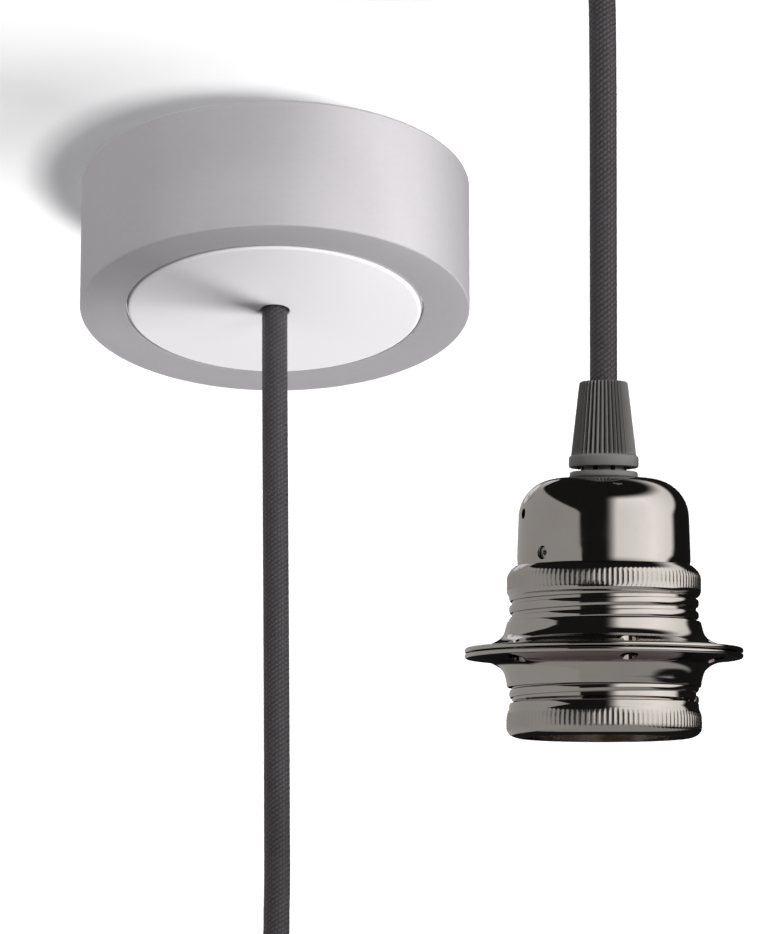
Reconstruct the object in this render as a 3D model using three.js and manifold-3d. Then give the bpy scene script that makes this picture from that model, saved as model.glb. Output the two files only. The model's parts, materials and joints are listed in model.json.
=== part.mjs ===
// Pendant cord set: a ceiling rose, a textile cord and a metal lamp holder with two shade rings.
// Millimetres, +Z up. The origin is on the ceiling, at the centre of the rose's mounting bracket.
import * as THREE from "three";
import { mergeVertices } from "three/addons/utils/BufferGeometryUtils.js";
import Module from "manifold-3d";

const wasm = await Module();
wasm.setup();

// Clearances
const gap = 0.3;
const cordClearance = 0.4;
const eps = 1;

// Ceiling rose
const roseRadius = 43;
const roseHeight = 30;
const roseWall = 1.2;
const roseEdgeRadius = 0.8;
const roseOpeningRadius = 32.9;
const discEdgeGap = 0.45;
const discFace = 2.2;
const discProud = 0.4;
const discRimRadius = 1;
const discFlange = 2.4;
const discFlangeThickness = 1.2;
const discBossHeight = 3;
const discBossWall = 2.6;

// Mounting bracket, folded from one strip of steel
const bracketWidth = 12;
const bracketThickness = 1.2;
const bracketLeg = 17;
const slotLength = 7;
const slotWidth = 4.4;
const slotInset = 7;
const supplyHoleRadius = 4;
const supplyHoleX = 14;
const tabWidth = 14;
const tabDrop = 20;
const grubRadius = 1.5;
const grubLength = 4;
const grubHeight = 11;

// Terminal block of the rose, three poles side by side
const poles = 3;
const poleSpacing = 8;
const blockLength = 13;
const blockHeight = 12;
const blockInset = 19.5;
const sleeveRadius = 2.3;
const sleeveBore = 1.3;
const clampScrewRadius = 1.1;
const clampScrewSpacing = 6;
const clampScrewRecess = 1;

// Cord clamp of the rose
const saddleThickness = 1.6;
const saddleHeight = 7;
const saddleZ = -14;
const saddleScrewX = 5.1;
const saddleScrewRadius = 1.2;
const saddleScrewHead = 1.9;
const saddleScrewHeadHeight = 1.2;
const driverSlotLength = 6;
const driverSlotDepth = 0.6;

// Cord and its cores
const cordDiameter = 5.6;
const cordRadius = cordDiameter / 2;
const coreRadius = 0.9;
const coreSpacing = 1.95;
const sheathEndZ = -9;

// Lamp holder, along its own axis: zero is the plane where the two shade rings meet
const holderRadius = 20;
const threadInset = 0.5;
const threadChamfer = 0.6;
const shellWall = 1.6;
const shellTop = 17.9;
const shellSeat = 1.6;
const rimInset = 0.15;
const rimBottom = 11.55;
const rimFoot = 1;
const rimShoulder = 2.4;
const rimBand = 1.2;
const flangeRadius = 28.5;
const flangeRim = 1.1;
const flangeFlat = 2.1;
const flangeSlope = Math.tan(THREE.MathUtils.degToRad(16.5));
const shadeRingWall = 0.4;
const upperCollarHeight = 6.4;
const lowerNeckHeight = 6.9;
const neckFillet = 1.8;
const neckFlare = 0.7;
const flangeHoleRadius = 1.85;
const flangeHoles = 6;
const flangeHoleTurn = 11;
const retainingHeight = 7.6;
const retainingTop = -10.2;
const retainingWall = 3.8;
const retainingFoot = 1;
const retainingRound = [0.9, 0.9];
const retainingBlend = [0.2, 2.4];
const retainingBandBottom = 4.4;
const retainingBandTop = 2.9;
const retainingNeck = 1.9;
const retainingSpigot = 2.2;
const retainingStep = 0.7;

// Dome cap
const domeInset = 0.2;
const domeTaper = 0.25;
const domeTop = 35.7;
const domeShoulder = 8;
const domeWall = 1.1;
const domeSkirtDrop = 4;
const ventRadius = 1.1;
const ventTurn = -72;
const ventZ = 28.3;
const lockScrewTurn = -46.6;
const lockScrewZ = 20.4;
const lockScrewRadius = 1.3;
const lockScrewIn = 1.6;

// Cord grip
const nippleRadius = 4.9;
const nippleBore = cordRadius + cordClearance;
const nippleDrop = 5.4;
const gripFlangeRadius = 7;
const gripFlangeHeight = 1.2;
const colletRadius = 4.4;
const colletHeight = 9;
const colletTeeth = 8;
const colletSlot = 1;
const gripPostRadius = 5.3;
const gripNeck = 0.9;
const sleeveCollarRadius = 7.15;
const sleeveCollarHeight = 2.4;
const sleeveConeBottom = 6.7;
const sleeveConeTop = 5.1;
const sleeveConeHeight = 14.4;
const sleeveChamfer = 0.9;
const sleeveTopRound = 0.6;
const colletTaper = 0.5;
const colletRoom = 1.4;
const sleeveRibs = 40;
const ribDepth = 0.35;
const locknutAcross = 13;
const locknutHeight = 3;

// Insulator and contacts
const insulatorFloorTop = 12.6;
const insulatorFloor = 5.4;
const insulatorWall = 2.3;
const insulatorSlack = 0.7;
const insulatorEdge = 1;
const lampThreadInset = 1.3;
const lampThreadDepth = 0.7;
const lampThreadPitch = 3.6;
const lampThreadTurns = 4;
const lampSleeveWall = 0.4;
const lampSleeveLip = 3;
const lampSleeveLead = 1.2;
const contactWidth = 5;
const contactThickness = 0.5;
const contactReach = 7;
const contactHeel = [2.6, 4.4, -1.4];
const contactBack = -3;
const contactKnee = 0.6;
const contactTip = [-2.4, 0.6];
const rivetRadius = 1.4;
const rivetHead = 2.3;
const rivetHeadHeight = 0.8;
const terminalX = 9;
const terminalLength = 7;
const terminalDepth = 6;
const terminalHeight = 5.5;
const terminalScrewRadius = 1.5;
const terminalScrewHead = 2.5;
const terminalScrewHeadHeight = 1.4;
const terminalScrewDepth = 2.4;
const terminalWireHeight = 1.6;
const earthTabWidth = 5;
const earthTabThickness = 0.6;
const earthTabLength = 10;

// Where the lamp holder hangs
const holderX = 69.1;
const holderY = -104;
const holderZ = -156.8;
const holderLean = THREE.MathUtils.degToRad(19.8);

// Coil of spare cord, upright below the rose
const coilX = 17;
const coilY = 0;
const coilZ = -224;
const coilInner = 26.5;
const coilOuter = 37.4;
const coilHalfWidth = 8.6;
const tieWidth = 6;
const tieThickness = 1;
const tieTurns = [80, 262];

// Ceiling hook
const hookX = 91.6;
const hookCordY = -145;
const hookCordZ = -9;
const hookWire = 1.7;
const hookBow = 6;
const hookArchDrop = 17;
const hookFootEdge = 2;
const hookBaseRadius = 8;
const hookBaseHeight = 2.4;

// Facets round the turned pieces
const fine = 40;
const medium = 30;
const coarse = 12;

// A point on an arc, and the points of an arc, in a profile of radius and height.
function arc(r, z, radius, fromDegrees, toDegrees, steps) {
  const points = [];
  for (let i = 0; i <= steps; i++) {
    const a = THREE.MathUtils.degToRad(
      fromDegrees + ((toDegrees - fromDegrees) * i) / steps,
    );
    points.push([r + radius * Math.cos(a), z + radius * Math.sin(a)]);
  }
  return points;
}

// A solid of revolution about Z from a closed profile, walked anticlockwise.
function turned(profile, segments) {
  const points = [...profile, profile[0]].map(([r, z]) => new THREE.Vector2(r, z));
  return new THREE.LatheGeometry(points, segments).rotateX(Math.PI / 2);
}

// A round bar from one height to another.
function bar(radius, bottom, top, segments = coarse) {
  const geometry = new THREE.CylinderGeometry(radius, radius, top - bottom, segments);
  return geometry.rotateX(Math.PI / 2).translate(0, 0, (top + bottom) / 2);
}

// A block between two corners.
function block(x0, x1, y0, y1, z0, z1) {
  const geometry = new THREE.BoxGeometry(x1 - x0, y1 - y0, z1 - z0);
  return geometry.translate((x0 + x1) / 2, (y0 + y1) / 2, (z0 + z1) / 2);
}

// A round wire or cord along a smooth curve through the given points.
function wire(points, radius, steps, sides) {
  const outline = new THREE.Shape();
  for (let i = 0; i < sides; i++) {
    const a = (2 * Math.PI * i) / sides;
    const x = radius * Math.cos(a);
    const y = radius * Math.sin(a);
    if (i) outline.lineTo(x, y);
    else outline.moveTo(x, y);
  }
  outline.closePath();
  const curve = new THREE.CatmullRomCurve3(points, false, "centripetal");
  const settings = { steps, bevelEnabled: false, extrudePath: curve };
  return new THREE.ExtrudeGeometry(outline, settings);
}

// Closed mesh to solid, and back.
function solid(geometry) {
  const plain = geometry.index ? geometry.toNonIndexed() : geometry.clone();
  plain.deleteAttribute("normal");
  plain.deleteAttribute("uv");
  const merged = mergeVertices(plain, 1e-4);
  const vertProperties = new Float32Array(merged.attributes.position.array);
  const triVerts = new Uint32Array(merged.index.array);
  return new wasm.Manifold(new wasm.Mesh({ numProp: 3, vertProperties, triVerts }));
}

function geometryOf(manifold) {
  const mesh = manifold.getMesh();
  const geometry = new THREE.BufferGeometry();
  geometry.setAttribute("position", new THREE.BufferAttribute(mesh.vertProperties, 3));
  geometry.setIndex(new THREE.BufferAttribute(mesh.triVerts, 1));
  geometry.computeVertexNormals();
  return geometry;
}

function cut(geometry, ...tools) {
  const result = tools.reduce((left, tool) => left.subtract(solid(tool)), solid(geometry));
  return geometryOf(result);
}

function joined(...geometries) {
  const solids = geometries.map(solid);
  return geometryOf(solids.reduce((left, right) => left.add(right)));
}

// Copies of a shape turned about Z.
function around(count, make, startDegrees = 0) {
  const copies = [];
  for (let i = 0; i < count; i++) {
    const angle = THREE.MathUtils.degToRad(startDegrees + (360 * i) / count);
    copies.push(make(i).rotateZ(angle));
  }
  return copies;
}

// A short bar that points out sideways from the axis; zero degrees faces the front, -Y.
function sideBar(radius, from, to, height, degrees, segments = coarse) {
  return bar(radius, from, to, segments)
    .rotateX(Math.PI / 2)
    .rotateZ(THREE.MathUtils.degToRad(degrees))
    .translate(0, 0, height);
}

const finishes = {
  brushedAluminium: { color: 0xb4b4b2, roughness: 0.38, metalness: 1 },
  whitePlastic: { color: 0xe8e5e9, roughness: 0.4, metalness: 0 },
  zincSteel: { color: 0xa9abad, roughness: 0.4, metalness: 1 },
  brass: { color: 0xb08d4a, roughness: 0.35, metalness: 1 },
  blackChrome: { color: 0x5c5654, roughness: 0.12, metalness: 1 },
  greyNylon: { color: 0x4a4947, roughness: 0.5, metalness: 0 },
  darkTextile: { color: 0x3c3a3b, roughness: 0.9, metalness: 0 },
  porcelain: { color: 0xe4ded2, roughness: 0.25, metalness: 0 },
  clearNylon: { color: 0xcfd0cb, roughness: 0.5, metalness: 0 },
  brownCore: { color: 0x5a3420, roughness: 0.5, metalness: 0 },
  blueCore: { color: 0x2b58a0, roughness: 0.5, metalness: 0 },
  earthCore: { color: 0x6f9a2b, roughness: 0.5, metalness: 0 },
};

const set = new THREE.Group();
const rose = new THREE.Group();
const holder = new THREE.Group();
const hanging = new THREE.Group();
set.add(rose, hanging, holder);
holder.position.set(holderX, holderY, holderZ);
holder.rotation.x = holderLean;

function add(group, name, geometry, finish) {
  const mesh = new THREE.Mesh(geometry, new THREE.MeshStandardMaterial(finishes[finish]));
  mesh.name = name;
  group.add(mesh);
}

// Rose ring: a spun cup, open at the ceiling, with a wide opening in its lower face.
const roseBottom = -roseHeight;
const faceTop = roseBottom + roseWall;
add(
  rose,
  "rose_ring",
  cut(
    turned(
      [
        [roseOpeningRadius, roseBottom],
        ...arc(roseRadius - roseEdgeRadius, roseBottom + roseEdgeRadius, roseEdgeRadius, -90, 0, 3),
        [roseRadius, 0],
        [roseRadius - roseWall, 0],
        [roseRadius - roseWall, faceTop],
        [roseOpeningRadius, faceTop],
      ],
      fine,
    ),
    ...[90, 270].map((turn) =>
      sideBar(grubRadius + gap, roseRadius - 3 * roseWall, roseRadius + eps, -grubHeight, turn),
    ),
  ),
  "brushedAluminium",
);

// Inner disc: a shallow face in the opening, a flange behind it and a boss round the cord.
const discRadius = roseOpeningRadius - discEdgeGap;
const discBottom = roseBottom - discProud;
const discHole = cordRadius + cordClearance;
const flangeBottom = faceTop + gap;
const flangeTop = flangeBottom + discFlangeThickness;
add(
  rose,
  "rose_cover_disc",
  turned(
    [
      [discHole, discBottom],
      ...arc(discRadius - discRimRadius, discBottom + discRimRadius, discRimRadius, -90, 0, 3),
      [discRadius, flangeBottom],
      [discRadius + discFlange, flangeBottom],
      [discRadius + discFlange, flangeTop],
      [discRadius - discFlange, flangeTop],
      [discRadius - discFlange, discBottom + discFace],
      [discHole + discBossWall, discBottom + discFace],
      [discHole + discBossWall, flangeTop + discBossHeight],
      [discHole, flangeTop + discBossHeight],
    ],
    fine,
  ),
  "whitePlastic",
);

// Mounting bracket: a strip with two legs, slots for the ceiling screws and a bent-down tab.
const legOuter = Math.sqrt((roseRadius - roseWall) ** 2 - (bracketWidth / 2) ** 2) - gap;
const tabY = cordRadius + cordClearance;
const halfStrip = bracketWidth / 2;
const slotCentre = legOuter - slotInset;
const strip = block(-legOuter, legOuter, -halfStrip, halfStrip, -bracketThickness, 0);
const legs = [-1, 1].map((side) =>
  block(
    side > 0 ? legOuter - bracketThickness : -legOuter,
    side > 0 ? legOuter : -legOuter + bracketThickness,
    -halfStrip,
    halfStrip,
    -bracketLeg,
    0,
  ),
);
const tab = block(-tabWidth / 2, tabWidth / 2, tabY, tabY + bracketThickness, -tabDrop, 0);
const slots = [-1, 1].flatMap((side) => [
  block(
    side * slotCentre - slotLength / 2,
    side * slotCentre + slotLength / 2,
    -slotWidth / 2,
    slotWidth / 2,
    -2 * bracketThickness,
    eps,
  ),
]);
const grubHoles = [90, 270].map((turn) =>
  sideBar(grubRadius + gap / 2, legOuter - 2 * bracketThickness, legOuter + eps, -grubHeight, turn),
);
const saddleHoles = [-1, 1].map((side) =>
  sideBar(saddleScrewRadius + gap, -tabY - 2 * bracketThickness, -tabY + eps, saddleZ, 0).translate(
    side * saddleScrewX,
    0,
    0,
  ),
);
add(
  rose,
  "mounting_bracket",
  cut(
    joined(strip, ...legs, tab),
    ...slots,
    bar(supplyHoleRadius, -2 * bracketThickness, eps).translate(supplyHoleX, 0, 0),
    ...grubHoles,
    ...saddleHoles,
  ),
  "zincSteel",
);

// Two grub screws hold the ring on the bracket's legs.
const grubOuter = roseRadius - gap;
["right", "left"].forEach((side, i) => {
  const turn = 90 + 180 * i;
  const body = sideBar(grubRadius, grubOuter - grubLength, grubOuter, -grubHeight, turn);
  const socket = sideBar(grubRadius / 2, grubOuter - grubLength / 2, grubOuter + eps, -grubHeight, turn, 6);
  add(rose, "rose_grub_screw_" + side, cut(body, socket), "zincSteel");
});

// Terminal block: a moulded body with three bores and six screw wells.
const blockX = blockInset - roseRadius;
const blockTop = -bracketThickness - gap;
const blockBottom = blockTop - blockHeight;
const boreZ = blockTop - blockHeight / 2 + 1;
const blockWidth = poles * poleSpacing;
const poleYs = Array.from({ length: poles }, (_, i) => (i - (poles - 1) / 2) * poleSpacing);
const screwXs = [-1, 1].map((side) => blockX + (side * clampScrewSpacing) / 2);
function alongX(radius, x0, x1, y, z, segments = coarse) {
  return bar(radius, Math.min(x0, x1), Math.max(x0, x1), segments).rotateY(Math.PI / 2).translate(0, y, z);
}
const blockEnds = [blockX - blockLength / 2, blockX + blockLength / 2];
add(
  rose,
  "terminal_block",
  cut(
    block(...blockEnds, -blockWidth / 2, blockWidth / 2, blockBottom, blockTop),
    ...poleYs.flatMap((y) => [
      alongX(sleeveRadius + gap, blockEnds[0] - eps, blockEnds[1] + eps, y, boreZ),
      ...screwXs.map((x) =>
        bar(clampScrewRadius + gap, blockBottom - eps, boreZ).translate(x, y, 0),
      ),
    ]),
    ...poleYs.slice(1).map((y) =>
      block(
        blockEnds[0] - eps,
        blockEnds[1] + eps,
        y - poleSpacing / 2 - gap,
        y - poleSpacing / 2 + gap,
        blockBottom - eps,
        blockBottom + blockHeight / 4,
      ),
    ),
  ),
  "clearNylon",
);
const sleeveEnds = [blockEnds[0] + 1, blockEnds[1] - 1];
const screwTip = boreZ - coreRadius - gap;
const screwFace = blockBottom + clampScrewRecess;
poleYs.forEach((y, i) => {
  const sleeve = cut(
    alongX(sleeveRadius, ...sleeveEnds, y, boreZ),
    alongX(sleeveBore, sleeveEnds[0] - eps, sleeveEnds[1] + eps, y, boreZ),
    ...screwXs.map((x) =>
      bar(clampScrewRadius + gap / 2, boreZ - 2 * sleeveRadius, boreZ).translate(x, y, 0),
    ),
  );
  add(rose, "terminal_sleeve_" + (i + 1), sleeve, "brass");
  screwXs.forEach((x, j) => {
    const screw = cut(
      bar(clampScrewRadius, screwFace, screwTip).translate(x, y, 0),
      block(x - sleeveRadius, x + sleeveRadius, y - gap, y + gap, blockBottom, screwFace + driverSlotDepth),
    );
    add(rose, "clamp_screw_" + (i + 1) + ["_outer", "_inner"][j], screw, "zincSteel");
  });
});

// Cord clamp: a saddle that two screws draw against the bracket's tab.
const saddleInner = -cordRadius - cordClearance;
const saddleOuter = saddleInner - saddleThickness;
add(
  rose,
  "cord_clamp_saddle",
  cut(
    block(
      -tabWidth / 2,
      tabWidth / 2,
      saddleOuter,
      saddleInner,
      saddleZ - saddleHeight / 2,
      saddleZ + saddleHeight / 2,
    ),
    ...[-1, 1].map((side) =>
      sideBar(saddleScrewRadius + gap, -saddleInner - eps, -saddleOuter + eps, saddleZ, 0).translate(
        side * saddleScrewX,
        0,
        0,
      ),
    ),
  ),
  "zincSteel",
);
const saddleHeadZ = -saddleOuter + gap;
["left", "right"].forEach((side, i) => {
  const screw = joined(
    sideBar(saddleScrewRadius, -tabY - 2 * bracketThickness, saddleHeadZ, saddleZ, 0),
    sideBar(saddleScrewHead, saddleHeadZ, saddleHeadZ + saddleScrewHeadHeight, saddleZ, 0),
  );
  const headY = -saddleHeadZ - saddleScrewHeadHeight;
  const slotEnd = driverSlotLength / 2;
  const slot = block(-slotEnd, slotEnd, headY - eps, headY + driverSlotDepth, saddleZ - gap, saddleZ + gap);
  const x = (i ? 1 : -1) * saddleScrewX;
  add(rose, "cord_clamp_screw_" + side, cut(screw, slot).translate(x, 0, 0), "zincSteel");
});

// Three cores run from the end of the cord's sheath into the terminal block.
const coreColours = ["brown", "earth", "blue"];
coreColours.forEach((colour, i) => {
  const startY = (i - 1) * coreSpacing;
  const poleY = poleYs[i];
  const points = [
    [0, startY, sheathEndZ + gap],
    [-0.6, startY, sheathEndZ + 1.6],
    [-4, startY, boreZ + 0.2],
    [-tabWidth / 2 - 1.6, startY, boreZ],
    [(blockEnds[1] - tabWidth / 2) / 2 - 0.8, (startY + poleY) / 2, boreZ],
    [blockEnds[1] + 0.8, poleY, boreZ],
    [blockEnds[1] - 3, poleY, boreZ],
  ].map((point) => new THREE.Vector3(...point));
  add(rose, "rose_core_" + colour, wire(points, coreRadius, 14, 6), colour + "Core");
});

// Threaded shell: a tube with a knurled rim above and a screw thread below.
const threadRadius = holderRadius - threadInset;
const shellBore = threadRadius - shellWall;
const rimRadius = holderRadius - rimInset;
const domeRadius = shellBore - domeInset;
const shellBottom = retainingTop + gap;
add(
  holder,
  "threaded_shell",
  turned(
    [
      [shellBore, shellBottom],
      [threadRadius - threadChamfer, shellBottom],
      [threadRadius, shellBottom + threadChamfer],
      [threadRadius, rimBottom],
      [rimRadius - rimFoot / 2, rimBottom],
      [rimRadius, rimBottom + rimFoot],
      [rimRadius, shellTop - rimShoulder - rimBand],
      ...arc(rimRadius - rimShoulder, shellTop - rimShoulder, rimShoulder, 20, 62, 3),
      [domeRadius + gap, shellTop],
      [domeRadius + gap, shellTop - shellSeat],
      [shellBore, shellTop - shellSeat],
    ],
    fine,
  ),
  "blackChrome",
);

// Shade rings: each flares from a collar round the thread to a thin rim, with six holes.
const ringBore = threadRadius + gap;
const collarRadius = ringBore + shadeRingWall;
const flareRadius = collarRadius + neckFillet;
const rimEdge = flangeRadius - gap;
const flatEdge = flangeRadius - flangeFlat;
const flareHeight = flangeRim + (flatEdge - flareRadius) * flangeSlope;
const flangeHoleCircle = (collarRadius + flatEdge) / 2 + 2 * gap;
function shadeRing(height, side) {
  const half = [
    [ringBore, gap / 2],
    [rimEdge, gap / 2],
    [flangeRadius, 2 * gap],
    [flangeRadius, flangeRim - gap / 2],
    [rimEdge, flangeRim],
    [flatEdge, flangeRim],
    [flareRadius, flareHeight],
    [collarRadius + neckFlare, flareHeight + neckFlare],
    [collarRadius, flareHeight + neckFillet],
    [ringBore + gap, height],
    [ringBore, height],
  ];
  const profile = side > 0 ? half : half.map(([r, z]) => [r, -z]).reverse();
  const drills = around(
    flangeHoles,
    () => bar(flangeHoleRadius, -height, height, 10).translate(0, -flangeHoleCircle, 0),
    flangeHoleTurn,
  );
  return cut(turned(profile, fine), ...drills);
}
add(holder, "upper_shade_ring", shadeRing(upperCollarHeight, 1), "blackChrome");
add(holder, "lower_shade_ring", shadeRing(lowerNeckHeight, -1), "blackChrome");

// Retaining ring: a knurled rim below the thread, with a spigot that screws into the shell.
const retainingBottom = retainingTop - retainingHeight;
const retainingBore = holderRadius - retainingWall;
const spigotRadius = shellBore - gap;
const spigotTop = retainingTop + retainingSpigot;
add(
  holder,
  "retaining_ring",
  turned(
    [
      [retainingBore, retainingBottom],
      [retainingBore + retainingFoot, retainingBottom],
      [holderRadius - retainingRound[0], retainingBottom + retainingRound[1]],
      [holderRadius - retainingBlend[0], retainingBottom + retainingBlend[1]],
      [holderRadius, retainingTop - retainingBandBottom],
      [holderRadius, retainingTop - retainingBandTop],
      [holderRadius - retainingStep, retainingTop - retainingNeck],
      [holderRadius - retainingStep, retainingTop],
      [spigotRadius, retainingTop],
      [spigotRadius, spigotTop],
      [retainingBore, spigotTop],
    ],
    fine,
  ),
  "blackChrome",
);

// Dome cap: a spun cover with a round shoulder, and a skirt that enters the shell.
const domeInner = domeRadius - domeWall;
const skirtRadius = shellBore - gap;
const shoulderR = domeRadius - domeTaper - domeShoulder;
const shoulderZ = domeTop - domeShoulder;
const domeFoot = shellTop - shellSeat + gap;
const skirtBottom = domeFoot - domeSkirtDrop;
add(
  holder,
  "dome_cap",
  cut(
    turned(
      [
        [domeInner - gap, skirtBottom],
        [skirtRadius - gap, skirtBottom],
        [skirtRadius - gap, domeFoot],
        [domeRadius, domeFoot],
        ...arc(shoulderR, shoulderZ, domeShoulder, 0, 90, 8),
        [nippleRadius + gap, domeTop],
        [nippleRadius + gap, domeTop - domeWall],
        ...arc(shoulderR, shoulderZ, domeShoulder - domeWall, 90, 0, 5),
        [domeInner - gap, domeFoot],
      ],
      fine,
    ),
    sideBar(ventRadius, domeRadius / 2, domeRadius + eps, ventZ, ventTurn),
    sideBar(ventRadius, domeRadius / 2, domeRadius + eps, ventZ, ventTurn + 180),
    sideBar(lockScrewRadius + gap / 2, domeRadius / 2, domeRadius + eps, lockScrewZ, lockScrewTurn),
  ),
  "blackChrome",
);
add(
  holder,
  "dome_lock_screw",
  cut(
    sideBar(lockScrewRadius, domeInner - lockScrewIn, domeRadius - gap, lockScrewZ, lockScrewTurn),
    sideBar(lockScrewRadius / 2, domeInner, domeRadius, lockScrewZ, lockScrewTurn, 6),
  ),
  "zincSteel",
);

// Cord grip base: a nipple through the dome, a ring on it and a slit collet above.
const gripFloor = domeTop + gap;
const gripFlangeTop = gripFloor + gripFlangeHeight;
const nippleBottom = domeTop - nippleDrop;
const colletBottom = gripFlangeTop + gripNeck;
const colletTop = colletBottom + colletHeight;
add(
  holder,
  "cord_grip_base",
  cut(
    turned(
      [
        [nippleBore, nippleBottom],
        [nippleRadius, nippleBottom],
        [nippleRadius, gripFloor],
        [gripFlangeRadius, gripFloor],
        [gripFlangeRadius, gripFlangeTop],
        [gripPostRadius, gripFlangeTop],
        [gripPostRadius, colletBottom + sleeveCollarHeight],
        [colletRadius, colletBottom + sleeveCollarHeight + gap],
        [colletRadius - colletTaper, colletTop],
        [nippleBore, colletTop],
      ],
      medium,
    ),
    ...around(colletTeeth, () =>
      block(0, 2 * colletRadius, -colletSlot / 2, colletSlot / 2, colletBottom, colletTop + eps),
    ),
  ),
  "greyNylon",
);

// Cord grip sleeve: a plain collar and a cone with fine ribs, bored for the collet.
const sleeveBottom = colletBottom;
const sleeveTop = sleeveBottom + sleeveCollarHeight + sleeveConeHeight + sleeveChamfer;
const coneBottom = sleeveBottom + sleeveCollarHeight;
function ribbed(profile, isRib) {
  const geometry = turned(profile, 2 * sleeveRibs);
  const position = geometry.attributes.position;
  const point = new THREE.Vector3();
  for (let i = 0; i < position.count; i++) {
    point.fromBufferAttribute(position, i);
    const radius = Math.hypot(point.x, point.y);
    const step = Math.round((Math.atan2(point.y, point.x) * sleeveRibs) / Math.PI);
    if (step % 2 && isRib(radius, point.z)) {
      const scale = (radius - ribDepth) / radius;
      position.setXYZ(i, point.x * scale, point.y * scale, point.z);
    }
  }
  return geometry;
}
const sleeveBore0 = gripPostRadius + gap;
const sleeveBore1 = colletRadius + gap;
add(
  holder,
  "cord_grip_sleeve",
  ribbed(
    [
      [sleeveBore0, sleeveBottom],
      [sleeveCollarRadius - gap, sleeveBottom],
      [sleeveCollarRadius, sleeveBottom + gap],
      [sleeveCollarRadius, coneBottom - gap],
      [sleeveConeBottom, coneBottom],
      [sleeveConeTop, sleeveTop - sleeveChamfer],
      [sleeveConeTop - sleeveTopRound, sleeveTop],
      [nippleBore, sleeveTop],
      [nippleBore, colletTop + colletRoom],
      [sleeveBore1, colletTop + gap],
      [sleeveBore0, coneBottom + 2 * gap],
    ],
    (radius, z) => radius > sleeveConeTop - gap && z > coneBottom - gap / 2 && z < sleeveTop - gap,
  ),
  "greyNylon",
);

// Locknut and earth tab under the dome's flat top.
const nutTop = domeTop - domeWall - gap - earthTabThickness - gap;
add(
  holder,
  "nipple_locknut",
  cut(
    bar(locknutAcross / Math.sqrt(3), nutTop - locknutHeight, nutTop, 6),
    bar(nippleRadius + gap, nutTop - locknutHeight - eps, nutTop + eps, medium),
  ),
  "zincSteel",
);
const tabTop = domeTop - domeWall - gap;
add(
  holder,
  "earth_tab",
  cut(
    joined(
      bar(locknutAcross / 2, tabTop - earthTabThickness, tabTop, medium),
      block(0, earthTabLength, -earthTabWidth / 2, earthTabWidth / 2, tabTop - earthTabThickness, tabTop),
      block(
        earthTabLength - earthTabThickness,
        earthTabLength,
        -earthTabWidth / 2,
        earthTabWidth / 2,
        tabTop - earthTabLength / 2,
        tabTop,
      ),
    ),
    bar(nippleRadius + gap, tabTop - 2, tabTop + eps, medium),
  ),
  "brass",
);

// Insulator: a porcelain cup with a thick floor, wells for the terminals and a hole for the rivet.
const insulatorBottom = spigotTop + gap;
const insulatorRadius = shellBore - insulatorSlack;
const insulatorBore = insulatorRadius - insulatorWall;
add(
  holder,
  "porcelain_insulator",
  cut(
    turned(
      [
        [insulatorBore, insulatorBottom],
        [insulatorRadius - insulatorEdge / 2, insulatorBottom],
        [insulatorRadius, insulatorBottom + insulatorEdge],
        [insulatorRadius, insulatorFloorTop - insulatorEdge],
        [insulatorRadius - insulatorEdge, insulatorFloorTop],
        [0, insulatorFloorTop],
        [0, insulatorFloor],
        [insulatorBore, insulatorFloor],
      ],
      medium,
    ),
    bar(rivetRadius + gap, insulatorFloor - eps, insulatorFloorTop + eps),
  ),
  "porcelain",
);

// Lamp sleeve: thin metal rolled into a coarse lamp thread.
const sleeveThreadTop = insulatorFloor - gap;
const lampThreadRadius = insulatorBore - lampThreadInset;
function lampWave(offset) {
  const points = [];
  const length = lampThreadPitch * lampThreadTurns;
  const perTurn = 2;
  for (let i = 0; i <= lampThreadTurns * perTurn; i++) {
    const phase = (2 * Math.PI * i) / perTurn;
    const z = sleeveThreadTop - lampSleeveLead - (length * i) / (lampThreadTurns * perTurn);
    points.push([lampThreadRadius + offset - (lampThreadDepth / 2) * (1 - Math.cos(phase)), z]);
  }
  return points;
}
add(
  holder,
  "lamp_screw_sleeve",
  turned(
    [
      [lampThreadRadius + lampSleeveWall, sleeveThreadTop],
      [lampThreadRadius - lampSleeveLip, sleeveThreadTop],
      [lampThreadRadius - lampSleeveLip, sleeveThreadTop - lampSleeveWall],
      ...lampWave(0),
      ...lampWave(lampSleeveWall).reverse(),
    ],
    medium,
  ),
  "brass",
);

// Centre contact: a sprung tongue on a rivet through the insulator's floor.
const contactTop = insulatorFloor - gap;
const t = contactThickness;
const [heelStart, heelX, heelZ] = contactHeel;
const [tipX, tipRise] = contactTip;
const tongue = new THREE.Shape();
[
  [contactBack, 0],
  [heelStart, 0],
  [heelX, heelZ],
  [contactKnee, -contactReach],
  [tipX, tipRise - contactReach],
  [tipX + 0.4 * t, tipRise - contactReach + t],
  [contactKnee - 0.4 * t, t - contactReach],
  [heelX - 1.2 * t, heelZ - 0.4 * t],
  [heelStart - 0.4 * t, -t],
  [contactBack, -t],
].forEach(([x, z], i) => (i ? tongue.lineTo(x, z) : tongue.moveTo(x, z)));
tongue.closePath();
const tongueGeometry = new THREE.ExtrudeGeometry(tongue, { depth: contactWidth, bevelEnabled: false })
  .translate(0, 0, -contactWidth / 2)
  .rotateX(Math.PI / 2)
  .translate(0, 0, contactTop);
add(
  holder,
  "centre_contact",
  cut(tongueGeometry, bar(rivetRadius + gap, contactTop - 2 * t, contactTop + eps)),
  "brass",
);
add(
  holder,
  "contact_rivet",
  joined(
    bar(rivetRadius, contactTop - t - gap, insulatorFloorTop + gap),
    bar(rivetHead, contactTop - t - gap - rivetHeadHeight, contactTop - t - gap),
    bar(rivetHead, insulatorFloorTop + gap, insulatorFloorTop + gap + rivetHeadHeight),
  ),
  "brass",
);

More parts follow.
